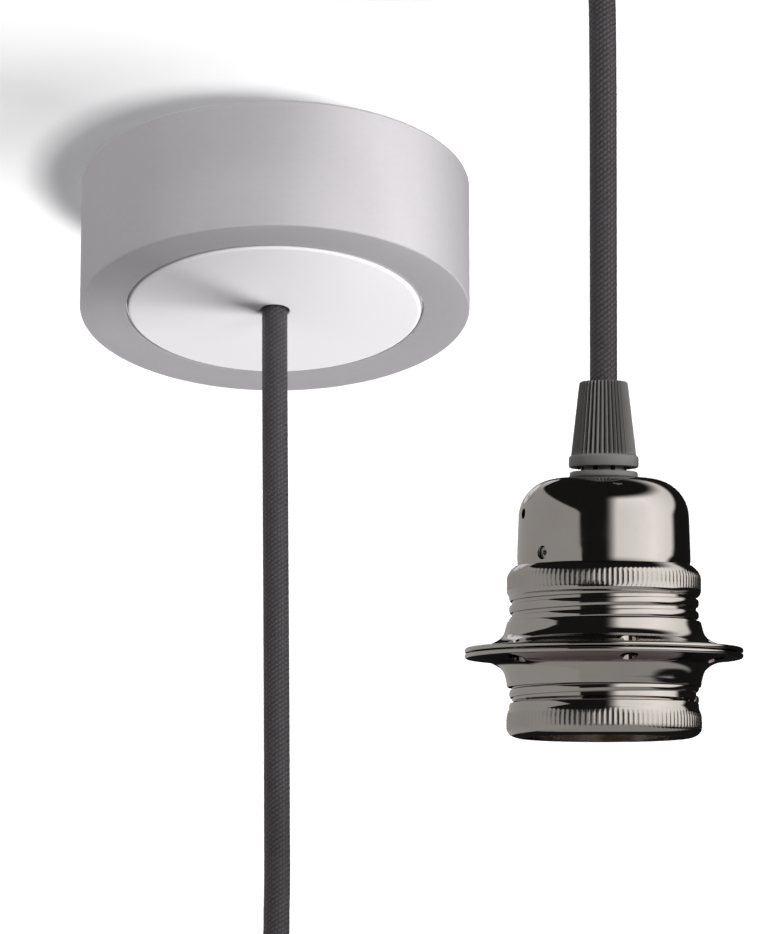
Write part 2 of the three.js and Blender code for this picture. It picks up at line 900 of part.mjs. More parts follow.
// Two terminals stand on the insulator, each with a clamp screw.
const terminalBase = insulatorFloorTop + gap;
const terminalTop = terminalBase + terminalHeight;
const screwHeadTop = terminalTop + gap + terminalScrewHeadHeight;
const wireHoleZ = terminalBase + terminalWireHeight;
const terminalSides = { live: -1, neutral: 1 };
for (const [name, side] of Object.entries(terminalSides)) {
  const x = side * terminalX;
  const half = terminalLength / 2;
  const body = block(x - half, x + half, -terminalDepth / 2, terminalDepth / 2, terminalBase, terminalTop);
  const holeBottom = terminalTop - terminalScrewDepth;
  const screwHole = bar(terminalScrewRadius + gap, holeBottom, terminalTop + eps).translate(x, 0, 0);
  const wireHole = alongX(coreRadius + gap, x - side * (half + eps), x - side * gap, 0, wireHoleZ);
  add(holder, "terminal_" + name, cut(body, screwHole, wireHole), "brass");
  const screw = joined(
    bar(terminalScrewRadius, holeBottom + gap / 2, terminalTop + gap),
    bar(terminalScrewHead, terminalTop + gap, screwHeadTop),
  );
  const slot = block(-half, half, -gap, gap, screwHeadTop - driverSlotDepth, screwHeadTop + eps);
  add(holder, "terminal_screw_" + name, cut(screw, slot).translate(x, 0, 0), "zincSteel");
}

// Inside the dome the sheath ends below the nipple and its cores part.
const holderSheathEnd = nippleBottom - 1;
const coreDrop = holderSheathEnd - gap;
const coreSpread = 2 * coreRadius + gap;
const holderCores = {
  brown: [
    [-coreSpread, 0, coreDrop],
    [-coreSpread, 0, coreDrop - 2],
    [-1.6, 0, wireHoleZ + 4.4],
    [-3.2, 0, wireHoleZ + 0.8],
    [-terminalX + terminalLength / 2 + 0.9, 0, wireHoleZ],
    [-terminalX + terminalLength / 2 - 1.4, 0, wireHoleZ],
  ],
  blue: [
    [coreSpread, 0, coreDrop],
    [coreSpread, 0, coreDrop - 2],
    [1.6, 0, wireHoleZ + 4.4],
    [3.2, 0, wireHoleZ + 0.8],
    [terminalX - terminalLength / 2 - 0.9, 0, wireHoleZ],
    [terminalX - terminalLength / 2 + 1.4, 0, wireHoleZ],
  ],
  earth: [
    [0, 0, coreDrop],
    [0, 0, coreDrop - 2],
    [1, -3.4, coreDrop - 4.6],
    [5.4, -4.4, coreDrop - 5.4],
    [earthTabLength - earthTabThickness - coreRadius - gap, -0.6, coreDrop - 1.4],
    [earthTabLength - earthTabThickness - coreRadius - gap, 0, coreDrop + 0.4],
  ],
};
for (const [colour, points] of Object.entries(holderCores)) {
  const route = points.map(([x, y, z]) => new THREE.Vector3(x, y, z));
  add(holder, "holder_core_" + colour, wire(route, coreRadius, 14, 6), colour + "Core");
}

// The cord leaves the rose straight down and runs onto the coil's upper left.
const cordSides = 8;
const exitCordPoints = [
  [0, 0, sheathEndZ],
  [0, 0, -roseHeight - 4],
  [0.5, 0, -90],
  [1, 0, -140],
  [1.1, -0.4, -176],
  [0.2, -2.6, -188.2],
].map(([x, y, z]) => new THREE.Vector3(x, y, z));
add(hanging, "cord_from_rose", wire(exitCordPoints, cordRadius, 24, cordSides), "darkTextile");

// Coil of the spare length, upright, with two ties round it.
const coilSection = [
  [coilInner, -coilHalfWidth + 2],
  [coilInner + 2, -coilHalfWidth],
  [coilOuter - 4, -coilHalfWidth],
  [coilOuter, -coilHalfWidth + 4],
  [coilOuter, coilHalfWidth - 4],
  [coilOuter - 4, coilHalfWidth],
  [coilInner + 2, coilHalfWidth],
  [coilInner, coilHalfWidth - 2],
];
function onCoil(geometry) {
  return geometry.rotateX(Math.PI / 2).translate(coilX, coilY, coilZ);
}
add(hanging, "cord_coil", onCoil(turned(coilSection, medium)), "darkTextile");
const tieInner = [coilInner - 2 * gap, coilOuter + gap, coilHalfWidth + gap];
tieTurns.forEach((degrees, i) => {
  const [r0, r1, half] = tieInner;
  const [t0, t1, outerHalf] = [r0 - tieThickness, r1 + tieThickness, half + tieThickness];
  const outer = block(t0, t1, -tieWidth / 2, tieWidth / 2, -outerHalf, outerHalf);
  const inner = block(r0, r1, -tieWidth, tieWidth, -half, half);
  const strap = cut(outer, inner).rotateZ(THREE.MathUtils.degToRad(degrees));
  add(hanging, "coil_tie_" + (i + 1), onCoil(strap), "darkTextile");
});

// From the coil the cord swings under, up over the ceiling hook and down to the lamp holder.
const toWorld = new THREE.Matrix4().makeRotationX(holderLean).setPosition(holderX, holderY, holderZ);
const alongHolder = (z) => new THREE.Vector3(0, 0, z).applyMatrix4(toWorld);
const hookArch = [0, 30, 60, 90, 120, 150, 180].map((degrees) => {
  const a = THREE.MathUtils.degToRad(degrees);
  const radius = hookX - holderX;
  return [hookX + radius * Math.cos(a), hookCordY, hookCordZ - hookArchDrop * (1 - Math.sin(a))];
});
const slackPoints = [
  [31, -12, -253.4],
  [44, -16.5, -259.5],
  [61, -28, -270],
  [82, -54, -280],
  [99, -89, -278],
  [109, -120, -262],
  [113.4, -139, -236],
  [114.3, -144.4, -205],
  [114.2, -145, -160],
  [114.1, -145, -100],
  [114.1, -145, -55],
];
const holderRun = [
  [holderX, -144.9, -36],
  [holderX, -143.9, -47],
  [holderX, -139.6, -62],
];
const cordToHolderPoints = [
  ...[...slackPoints, ...hookArch, ...holderRun].map(([x, y, z]) => new THREE.Vector3(x, y, z)),
  alongHolder(sleeveTop + 22),
  alongHolder(sleeveTop + 8),
  alongHolder(sleeveTop - 8),
  alongHolder(holderSheathEnd),
];
add(hanging, "cord_to_holder", wire(cordToHolderPoints, cordRadius, 56, cordSides), "darkTextile");

// Ceiling hook: a turned foot and a bent wire under the cord, made as one piece.
const stemY = hookCordY + hookBow;
const bowBottom = hookCordZ - cordRadius - 2 * gap - hookWire;
const bowCentre = bowBottom + hookBow;
const hookPoints = [
  new THREE.Vector3(hookX, stemY, -hookBaseHeight / 2),
  new THREE.Vector3(hookX, stemY, bowCentre + 1),
  ...[0, -30, -60, -90, -120, -150, -180].map((degrees) => {
    const a = THREE.MathUtils.degToRad(degrees);
    return new THREE.Vector3(hookX, hookCordY + hookBow * Math.cos(a), bowCentre + hookBow * Math.sin(a));
  }),
];
const hookFoot = turned(
  [
    [0, -hookBaseHeight],
    [hookBaseRadius - hookFootEdge, -hookBaseHeight],
    [hookBaseRadius, -hookBaseHeight / 2],
    [hookBaseRadius, 0],
    [0, 0],
  ],
  coarse,
).translate(hookX, stemY, 0);
add(hanging, "ceiling_hook", joined(hookFoot, wire(hookPoints, hookWire, 20, 10)), "zincSteel");

export default set;
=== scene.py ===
import json
import math

import bpy
from mathutils import Matrix, Vector


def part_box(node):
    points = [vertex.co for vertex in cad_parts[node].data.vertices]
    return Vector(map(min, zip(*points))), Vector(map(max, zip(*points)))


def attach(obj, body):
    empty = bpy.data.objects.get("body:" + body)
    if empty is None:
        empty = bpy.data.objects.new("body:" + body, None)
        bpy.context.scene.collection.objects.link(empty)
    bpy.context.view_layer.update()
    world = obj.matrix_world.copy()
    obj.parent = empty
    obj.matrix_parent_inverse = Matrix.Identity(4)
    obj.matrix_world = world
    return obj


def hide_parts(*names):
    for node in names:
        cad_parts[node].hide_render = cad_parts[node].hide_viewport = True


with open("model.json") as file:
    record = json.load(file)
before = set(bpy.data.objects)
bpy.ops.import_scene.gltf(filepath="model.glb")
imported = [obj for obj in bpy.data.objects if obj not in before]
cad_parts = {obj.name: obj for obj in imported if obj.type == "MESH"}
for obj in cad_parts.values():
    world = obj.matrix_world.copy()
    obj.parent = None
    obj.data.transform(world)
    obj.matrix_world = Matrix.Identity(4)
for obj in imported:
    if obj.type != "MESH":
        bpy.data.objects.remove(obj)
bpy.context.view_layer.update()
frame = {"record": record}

# Sizes are in millimetres, and MM turns them into Blender's metres
MM = 0.001
BODY = "root"

# The rose: its reach comes from its solid, the rest is the thickness and the gaps of its pieces
ROSE_LOW, ROSE_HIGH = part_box("rose_ring")
ROSE_RADIUS = (ROSE_HIGH[0] - ROSE_LOW[0]) / 2 / MM
ROSE_HEIGHT = (ROSE_HIGH[2] - ROSE_LOW[2]) / MM
ROSE_WALL = 1.2
ROSE_OPENING = 32.9
DISC_GAP = 0.45
DISC_PROUD = 0.4
ROSE_SCREW_HEIGHT = -11

# The lamp holder's own frame: zero is where the two shade rings meet, Z runs up its axis
HOLDER_SPOT = Vector((69.1, -104.0, -156.8))
HOLDER_LEAN = math.radians(19.8)
HOLDER = Matrix.Translation(HOLDER_SPOT * MM) @ Matrix.Rotation(HOLDER_LEAN, 4, "X")

# Radii and heights of the holder's bands of flutes and ribs
SHELL_FLUTES = (12.9, 16.2)
RING_FLUTES = (-15.8, -12.3)
FLUTES = 120
FLUTE_DEPTH = 0.13
FLUTE_FLOOR = 19.45
GRIP_RIBS = 40
RIB_SPAN = (40.6, 55.7)

# The cord: its thickness, the heights of its ends and of the grip's mouth, and its braid
CORD = 5.6
SHEATH_END = -9.0
CORD_IN_HOLDER = 29.3
GRIP_TOP = 55.8
BRAID_COLUMNS = 22
BRAID_ROW = 1.12

# The camera stands where the photograph was taken from, below and in front
CAMERA_SPOT = Vector((24.1, -1809.0, -883.0))
CAMERA_PITCH = math.radians(24.25)
PHOTO_LONG_SIDE = 934
FOCAL_PIXELS = 9060
SENSOR = 36.0

# Sides of a turned piece: one that shows its outline, one that sits inside, and a small one
FINE = 240
MIDDLE = 128
SMALL = 64

# The lamps: place, size in metres and power
LAMPS = {
    "key": ((0.6, 0.28, -2.0), (0.55, 0.55), 40),
    "side": ((1.5, -1.45, -0.08), (0.5, 0.25), 50),
    "fill": ((-1.7, -1.2, -0.08), (0.6, 0.2), 9),
    "back": ((-0.4, 2.0, -0.08), (0.8, 0.2), 26),
    "top": ((-0.6, -0.9, 1.3), (1.2, 1.2), 14),
}
LAMP_AIMS = {
    "key": (0.0, 0.0, -0.01), "side": (0.03, -0.05, -0.06), "fill": (0.03, -0.05, -0.06),
    "back": (0.03, -0.05, -0.1), "top": (0.03, -0.05, -0.1),
}
SHADE_LIGHT = (0.15, 0.15, 0.155)
CEILING_COLOUR = (0.98, 0.98, 0.985)
CEILING_GLOW = 0.1
CEILING_REACH = 3
CEILING_HEIGHT = 0.0001


def select_only(*pieces):
    """Leave just these pieces selected, the first one active."""
    bpy.ops.object.select_all(action="DESELECT")
    for piece in pieces:
        piece.select_set(True)
    bpy.context.view_layer.objects.active = pieces[0]


def edit(piece):
    """Open one piece in edit mode."""
    select_only(piece)
    bpy.ops.object.mode_set(mode="EDIT")


def leave_edit():
    """Write the edit back to the mesh."""
    bpy.ops.object.mode_set(mode="OBJECT")


def pick_points(piece, test):
    """Select the points of a mesh that pass a test on their place in millimetres."""
    edit(piece)
    bpy.ops.mesh.select_mode(type="VERT")
    bpy.ops.mesh.select_all(action="DESELECT")
    leave_edit()
    for point in piece.data.vertices:
        point.select = test(*(point.co / MM))
    bpy.ops.object.mode_set(mode="EDIT")


def tidy(piece):
    """Merge doubles and turn every face outwards."""
    edit(piece)
    bpy.ops.mesh.select_all(action="SELECT")
    bpy.ops.mesh.remove_doubles(threshold=1e-6)
    bpy.ops.mesh.normals_make_consistent(inside=False)
    leave_edit()


def apply_modifier(piece, kind, **settings):
    """Add a modifier with its settings and apply it."""
    select_only(piece)
    modifier = piece.modifiers.new(kind.title(), kind)
    for name, value in settings.items():
        setattr(modifier, name, value)
    bpy.ops.object.modifier_apply(modifier=modifier.name)


def place(piece, matrix):
    """Bake a place into the mesh, so that the object stays at the origin."""
    piece.matrix_world = matrix @ piece.matrix_world
    select_only(piece)
    bpy.ops.object.transform_apply(location=True, rotation=True, scale=True)


def outline(corners, steps=5):
    """A closed outline of radius and height; a corner's third number rounds it off."""
    points = []
    for i, corner in enumerate(corners):
        here = Vector(corner[:2])
        if len(corner) == 2:
            points.append(tuple(here))
            continue
        back = (Vector(corners[i - 1][:2]) - here).normalized()
        ahead = (Vector(corners[(i + 1) % len(corners)][:2]) - here).normalized()
        half = back.angle(ahead) / 2
        radius = corner[2]
        centre = here + (back + ahead).normalized() * radius / math.sin(half)
        start = here + back * radius / math.tan(half) - centre
        end = here + ahead * radius / math.tan(half) - centre
        first = math.atan2(start.y, start.x)
        turn = (math.atan2(end.y, end.x) - first + math.pi) % (2 * math.pi) - math.pi
        for j in range(steps + 1):
            angle = first + turn * j / steps
            points.append((centre.x + radius * math.cos(angle), centre.y + radius * math.sin(angle)))
    return points


def arc(r, z, radius, start, end, steps):
    """Points of an arc in radius and height, its angles in degrees."""
    angles = [math.radians(start + (end - start) * i / steps) for i in range(steps + 1)]
    return [(r + radius * math.cos(a), z + radius * math.sin(a)) for a in angles]


def turned(name, points, sides=FINE):
    """A turned piece: a circle drawn along a closed outline until it meets itself."""
    bpy.ops.object.select_all(action="DESELECT")
    radius, height = points[0]
    bpy.ops.mesh.primitive_circle_add(vertices=sides, radius=radius * MM, location=(0, 0, height * MM))
    piece = bpy.context.object
    piece.name = name
    bpy.ops.object.transform_apply(location=True)
    edit(piece)
    bpy.ops.mesh.select_all(action="SELECT")
    for r, z in points[1:] + points[:1]:
        bpy.ops.mesh.extrude_edges_move(TRANSFORM_OT_translate={"value": (0, 0, (z - height) * MM)})
        bpy.ops.transform.resize(value=(r / radius, r / radius, 1), center_override=(0, 0, 0))
        radius, height = r, z
    leave_edit()
    tidy(piece)
    return piece


def flute(piece, flutes, low, high, inner, depth):
    """Press round flutes into the band between two heights and outside a radius.

    The piece has four sides to a flute: its bottom, its two flanks and the crest between flutes."""
    flank = 0.55
    for phase, share in ((0, 1.0), (1, flank)):
        def in_flute(x, y, z, phase=phase):
            radius = math.hypot(x, y)
            step = round(math.atan2(y, x) * 4 * flutes / (2 * math.pi)) % 4
            return low < z < high and radius > inner and (step if step < 3 else 1) == phase
        pick_points(piece, in_flute)
        scale = 1 - depth * share / inner
        bpy.ops.transform.resize(value=(scale, scale, 1), center_override=(0, 0, 0))
        leave_edit()


def thread(name, root, height, width, pitch, bottom, turns):
    """A thread ridge: a small oval section screwed round the axis, its ends closed."""
    section, sides = 10, 96
    bpy.ops.object.select_all(action="DESELECT")
    bpy.ops.mesh.primitive_circle_add(
        vertices=section, radius=MM, location=(root * MM, 0, bottom * MM), rotation=(math.pi / 2, 0, 0)
    )
    ridge = bpy.context.object
    ridge.name = name
    bpy.ops.object.transform_apply(location=True, rotation=True)
    edit(ridge)
    bpy.ops.mesh.select_all(action="SELECT")
    bpy.ops.transform.resize(
        value=(height, 1, width / 2), center_override=(root * MM, 0, bottom * MM)
    )
    leave_edit()
    apply_modifier(
        ridge, "SCREW", axis="Z", angle=2 * math.pi, screw_offset=pitch * MM,
        iterations=turns, steps=sides, render_steps=sides, use_merge_vertices=True, merge_threshold=1e-7,
    )
    edit(ridge)
    bpy.ops.mesh.select_all(action="SELECT")
    bpy.ops.mesh.fill_holes(sides=0)
    leave_edit()
    tidy(ridge)
    return ridge


def rod(name, radius, low, high, sides=32):
    """A round rod along Z."""
    bpy.ops.object.select_all(action="DESELECT")
    middle = (high + low) / 2
    bpy.ops.mesh.primitive_cylinder_add(
        vertices=sides, radius=radius * MM, depth=(high - low) * MM, location=(0, 0, middle * MM)
    )
    piece = bpy.context.object
    piece.name = name
    bpy.ops.object.transform_apply(location=True)
    return piece


def bar(name, low, high):
    """A block between two corners."""
    low, high = Vector(low), Vector(high)
    bpy.ops.object.select_all(action="DESELECT")
    bpy.ops.mesh.primitive_cube_add(size=1, location=(low + high) / 2 * MM)
    piece = bpy.context.object
    piece.name = name
    piece.scale = (high - low) * MM
    bpy.ops.object.transform_apply(location=True, scale=True)
    return piece


def side_rod(radius, start, end, height, degrees, sides=24):
    """A rod that points out sideways from the axis; zero degrees faces the front."""
    piece = rod("drill", radius, start, end, sides)
    turn = Matrix.Rotation(math.radians(degrees), 4, "Z") @ Matrix.Rotation(math.pi / 2, 4, "X")
    place(piece, Matrix.Translation((0, 0, height * MM)) @ turn)
    return piece


def join(name, *pieces):
    """Make one mesh of several pieces, the first one's."""
    select_only(*pieces)
    bpy.ops.object.join()
    pieces[0].name = name
    return pieces[0]


def drill(piece, *drills):
    """Cut holes and throw the drills away."""
    for tool in drills:
        apply_modifier(piece, "BOOLEAN", operation="DIFFERENCE", solver="EXACT", object=tool)
        bpy.data.objects.remove(tool)


def finish(piece, paint, *nodes, smooth=35, holder=False):
    """Smooth, paint and seat a finished piece, and hide the plain solids it stands for."""
    select_only(piece)
    bpy.ops.object.shade_smooth_by_angle(angle=math.radians(smooth))
    if holder:
        place(piece, HOLDER)
    piece.data.materials.clear()
    piece.data.materials.append(PAINTS[paint])
    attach(piece, BODY)
    if nodes:
        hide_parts(*nodes)
    return piece


class Value:
    """A number or colour that varies over a surface, so that sums can be written out."""

    def __init__(self, paint, socket):
        self.paint = paint
        self.socket = socket

    def sum(self, operation, *parts):
        return self.paint.add("ShaderNodeMath", {"operation": operation}, dict(enumerate(parts)))

    def __add__(self, other):
        return self.sum("ADD", self, other)

    def __sub__(self, other):
        return self.sum("SUBTRACT", self, other)

    def __rsub__(self, other):
        return self.sum("SUBTRACT", other, self)

    def __mul__(self, other):
        return self.sum("MULTIPLY", self, other)

    def __truediv__(self, other):
        return self.sum("DIVIDE", self, other)

    def __pow__(self, other):
        return self.sum("POWER", self, other)

    __radd__ = __add__
    __rmul__ = __mul__

    def wave(self):
        return self.sum("SINE", self)

    def size(self):
        return self.sum("ABSOLUTE", self)

    def most(self, other):
        return self.sum("MAXIMUM", self, other)

    def step(self, low, high):
        """Zero below low, one above high, and a smooth rise between."""
        return self.paint.add(
            "ShaderNodeMapRange", {"interpolation_type": "SMOOTHSTEP"},
            {"Value": self, "From Min": low, "From Max": high},
        )

    def between(self, low, high, blur=0.1):
        """One between two places in millimetres, with a short blur at both."""
        return self.step((low - blur) * MM, (low + blur) * MM) * (
            1 - self.step((high - blur) * MM, (high + blur) * MM)
        )


class Paint:
    """A node tree under construction: a material's, or the world's."""

    def __init__(self, name=None, tree=None):
        if tree is None:
            self.material = bpy.data.materials.new(name)
            self.material.use_nodes = True
            tree = self.material.node_tree
            self.shader = tree.nodes["Principled BSDF"]
        self.tree = tree

    def feed(self, socket, value):
        """Link a value to a socket, or write a plain one into it."""
        if isinstance(value, Value):
            self.tree.links.new(value.socket, socket)
        else:
            socket.default_value = value

    def add(self, kind, settings=None, sockets=None, output=0):
        """One node: its settings first, then the values or links of its sockets."""
        node = self.tree.nodes.new(kind)
        for name, value in (settings or {}).items():
            setattr(node, name, value)
        for name, value in (sockets or {}).items():
            self.feed(node.inputs[name], value)
        return Value(self, node.outputs[output])

    def spot(self):
        """The place on the piece, in metres."""
        return self.add("ShaderNodeTexCoord", output="Object")

    def around(self, matrix=None):
        """Radius, turn and height about an axis, from the place on the piece."""
        spot = self.spot()
        if matrix is not None:
            back = matrix.inverted()
            spot = self.add(
                "ShaderNodeMapping", {"vector_type": "POINT"},
                {"Vector": spot, "Location": back.to_translation(), "Rotation": back.to_euler()},
            )
        split = {name: self.add("ShaderNodeSeparateXYZ", None, {0: spot}, name) for name in "XYZ"}
        radius = (split["X"] * split["X"] + split["Y"] * split["Y"]) ** 0.5
        turn = split["Y"].sum("ARCTAN2", split["Y"], split["X"])
        return radius, turn, split["Z"]

    def vector(self, x, y, z):
        return self.add("ShaderNodeCombineXYZ", None, {0: x, 1: y, 2: z})

    def noise(self, vector, scale, detail=3.0, rough=0.5):
        return self.add(
            "ShaderNodeTexNoise", None,
            {"Vector": vector, "Scale": scale, "Detail": detail, "Roughness": rough},
        )

    def mix(self, share, first, second):
        """Blend two colours, or a colour and a link."""
        return self.add(
            "ShaderNodeMix", {"data_type": "RGBA"}, {0: share, 6: first, 7: second}, output=2
        )

    def bump(self, height, distance, strength=1.0):
        return self.add(
            "ShaderNodeBump", None, {"Height": height, "Distance": distance, "Strength": strength}
        )

    def set(self, **sockets):
        """Set the finish's own sockets, with spaces for the underscores in their names."""
        for name, value in sockets.items():
            self.feed(self.shader.inputs[name.replace("_", " ")], value)
        return self.material


def shade(red, green, blue):
    """A colour as a socket takes it."""
    return (red, green, blue, 1.0)


def brushed_aluminium():
    """Spun and brushed round its axis, so the fine lines run round the ring."""
    paint = Paint("brushed_aluminium")
    radius, turn, height = paint.around()
    lines = paint.noise(paint.vector(radius, turn * 0.0012, height), 9000, 2.0)
    broad = paint.noise(paint.vector(radius, turn * 0.02, height), 900, 2.0)
    mottle = paint.noise(paint.spot(), 60, 3.0)
    tone = lines * 0.5 + broad * 0.3 + mottle * 0.2
    return paint.set(
        Base_Color=paint.mix(tone, shade(0.585, 0.565, 0.595), shade(0.685, 0.665, 0.695)),
        Metallic=0.45,
        Roughness=0.42 + lines * 0.14,
        Normal=paint.bump(lines, 0.00002, 0.35),
    )


def white_disc():
    """Satin white lacquer with a fine orange-peel grain."""
    paint = Paint("white_disc")
    grain = paint.noise(paint.spot(), 900, 4.0)
    cloud = paint.noise(paint.spot(), 30, 2.0)
    return paint.set(
        Base_Color=paint.mix(cloud, shade(0.80, 0.785, 0.80), shade(0.83, 0.815, 0.83)),
        Roughness=0.45 + grain * 0.12,
        Specular_IOR_Level=0.35,
        Normal=paint.bump(grain, 0.00003, 0.12),
    )


def black_chrome():
    """Dark nickel plate: a clear mirror with faint buffing marks and a little haze.

    It is duller on the fluted bands, and the underside of the lower flange carries painted shade, a dark
    purple darkening of its colour."""
    paint = Paint("black_chrome")
    radius, turn, height = paint.around(HOLDER)
    buff = paint.noise(paint.vector(radius, turn * 0.004, height), 2600, 2.0)
    haze = paint.noise(paint.spot(), 90, 4.0, 0.6)
    fluted = height.between(*SHELL_FLUTES) + height.between(RING_FLUTES[0] + 0.1, RING_FLUTES[1])
    # painted shade: the colour of the lower flange's underside is darkened to dark purple
    painted_shade_under_flange = radius.step(21.4 * MM, 22.6 * MM) * (1 - height.step(-1.1 * MM, -0.95 * MM))
    plating = paint.mix(haze, shade(0.50, 0.475, 0.46), shade(0.60, 0.575, 0.56))
    return paint.set(
        Base_Color=paint.mix(painted_shade_under_flange, plating, shade(0.20, 0.15, 0.165)),
        Metallic=1.0,
        Roughness=0.05 + haze.step(0.45, 0.75) * 0.07 + fluted * 0.22,
        Normal=paint.bump(buff, 0.00001, 0.12),
    )


def grip_nylon():
    """Matt grey nylon, with painted shade making the bottom of the grooves between the ribs near black.
    """
    paint = Paint("grip_nylon")
    turn, height = paint.around(HOLDER)[1:]
    # painted shade: the grooves between the ribs are darkened in the colour
    painted_groove_shade = (turn * GRIP_RIBS + math.pi / 2).wave().step(0.1, 1.0)
    painted_groove_shade = painted_groove_shade * height.between(RIB_SPAN[0], RIB_SPAN[1] - 0.1)
    grain = paint.noise(paint.spot(), 2500, 4.0)
    cloud = paint.noise(paint.spot(), 140, 3.0)
    nylon = paint.mix(cloud, shade(0.115, 0.112, 0.109), shade(0.15, 0.147, 0.143))
    return paint.set(
        Base_Color=paint.mix(painted_groove_shade, nylon, shade(0.02, 0.0195, 0.0195)),
        Roughness=0.36 + grain * 0.2,
        Normal=paint.bump(grain, 0.00004, 0.3),
    )


def textile():
    """Tight braid: columns of short yarns that lean left and right in turn, with fluff."""
    paint = Paint("textile_cord")
    split = paint.add("ShaderNodeUVMap", {"uv_map": "length"})
    across = paint.add("ShaderNodeSeparateXYZ", None, {0: split}, "X")
    along = paint.add("ShaderNodeSeparateXYZ", None, {0: split}, "Y")
    row_turn = 2 * math.pi / (BRAID_ROW * MM)
    column = (across * (math.pi * BRAID_COLUMNS)).wave()
    lift = column.step(-0.3, 0.3) * math.pi
    lean = (across * (math.pi * BRAID_COLUMNS * 2)).wave() * 0.5
    yarn = (along * row_turn + lift + lean).wave()
    relief = (yarn * 0.5 + 0.5) * 0.7 + column.size().step(0.0, 0.6) * 0.3
    strands = (along * (row_turn * 4) + across * 60).wave()
    fluff = paint.noise(paint.spot(), 5200, 3.0, 0.7)
    cloud = paint.noise(paint.spot(), 260, 3.0)
    height = relief * 0.7 + strands * 0.06 + fluff * 0.35
    tone = (relief * 0.6 + cloud * 0.25 + fluff * 0.3).step(0.2, 1.05)
    return paint.set(
        Base_Color=paint.mix(tone, shade(0.006, 0.005, 0.006), shade(0.062, 0.054, 0.061)),
        Roughness=0.5,
        Specular_IOR_Level=1.0,
        Normal=paint.bump(height, 0.0003, 1.0),
    )


def plain_metal(name, dark, light, roughness):
    """Plated or bare metal of the small parts, cloudy and finely scratched."""
    paint = Paint(name)
    grain = paint.noise(paint.spot(), 1400, 4.0)
    cloud = paint.noise(paint.spot(), 120, 3.0)
    return paint.set(
        Base_Color=paint.mix(cloud, shade(*dark), shade(*light)),
        Metallic=1.0,
        Roughness=roughness + grain * 0.15,
        Normal=paint.bump(grain, 0.00002, 0.25),
    )


def plain_plastic(name, dark, light, roughness):
    """Moulded plastic of the terminal block and the cores, with a fine grain."""
    paint = Paint(name)
    grain = paint.noise(paint.spot(), 1800, 4.0)
    cloud = paint.noise(paint.spot(), 90, 3.0)
    return paint.set(
        Base_Color=paint.mix(cloud, shade(*dark), shade(*light)),
        Roughness=roughness + grain * 0.15,
        Normal=paint.bump(grain, 0.00003, 0.25),
    )


def porcelain():
    """Glazed porcelain with a few darker specks."""
    paint = Paint("porcelain")
    speck = paint.noise(paint.spot(), 700, 4.0).step(0.66, 0.74)
    cloud = paint.noise(paint.spot(), 60, 3.0)
    return paint.set(
        Base_Color=paint.mix(speck * 0.4 + cloud * 0.2, shade(0.78, 0.75, 0.69), shade(0.62, 0.58, 0.52)),
        Roughness=0.18 + cloud * 0.1,
        Normal=paint.bump(cloud, 0.0001, 0.2),
        Coat_Weight=0.5,
    )


def tie_band():
    """Black woven tape, its weave across the band."""
    paint = Paint("tie_band")
    split = paint.add("ShaderNodeSeparateXYZ", None, {0: paint.spot()}, "Y")
    weave = (split * 9000).wave() * 0.5 + 0.5
    grain = paint.noise(paint.spot(), 4000, 3.0)
    return paint.set(
        Base_Color=paint.mix(
            weave * 0.6 + grain * 0.4, shade(0.012, 0.012, 0.013), shade(0.04, 0.04, 0.042)
        ),
        Roughness=0.9,
        Normal=paint.bump(weave + grain, 0.0001, 0.6),
    )


PAINTS = {
    "aluminium": brushed_aluminium(),
    "white": white_disc(),
    "chrome": black_chrome(),
    "nylon": grip_nylon(),
    "textile": textile(),
    "steel": plain_metal("plated_steel", (0.48, 0.48, 0.49), (0.62, 0.62, 0.63), 0.24),
    "brass": plain_metal("brass_parts", (0.60, 0.44, 0.20), (0.74, 0.58, 0.30), 0.2),
    "porcelain": porcelain(),
    "block": plain_plastic("block_nylon", (0.60, 0.61, 0.58), (0.68, 0.69, 0.66), 0.4),
    "brown": plain_plastic("core_brown", (0.09, 0.035, 0.015), (0.13, 0.055, 0.025), 0.35),
    "blue": plain_plastic("core_blue", (0.02, 0.09, 0.34), (0.035, 0.13, 0.42), 0.35),
    "earth": plain_plastic("core_earth", (0.10, 0.30, 0.02), (0.45, 0.50, 0.03), 0.35),
    "tie": tie_band(),
}
SLOTS = {
    "aluminium": "brushed_aluminium", "white": "white_disc", "chrome": "black_chrome",
    "nylon": "grip_nylon", "textile": "textile_cord", "steel": "plated_steel", "brass": "brass_parts",
    "porcelain": "porcelain", "block": "block_nylon", "brown": "core_brown", "blue": "core_blue",
    "earth": "core_earth", "tie": "tie_band",
}


def make_camera():
    """The camera, at the photograph's viewing angle and distance."""
    data = bpy.data.cameras.new("camera")
    data.sensor_width = SENSOR
    data.sensor_fit = "AUTO"
    data.lens = SENSOR * FOCAL_PIXELS / PHOTO_LONG_SIDE
    data.clip_end = 20
    camera = bpy.data.objects.new("camera", data)
    bpy.context.collection.objects.link(camera)
    camera.location = CAMERA_SPOT * MM
    camera.rotation_euler = (math.pi / 2 + CAMERA_PITCH, 0, 0)
    bpy.context.scene.camera = camera


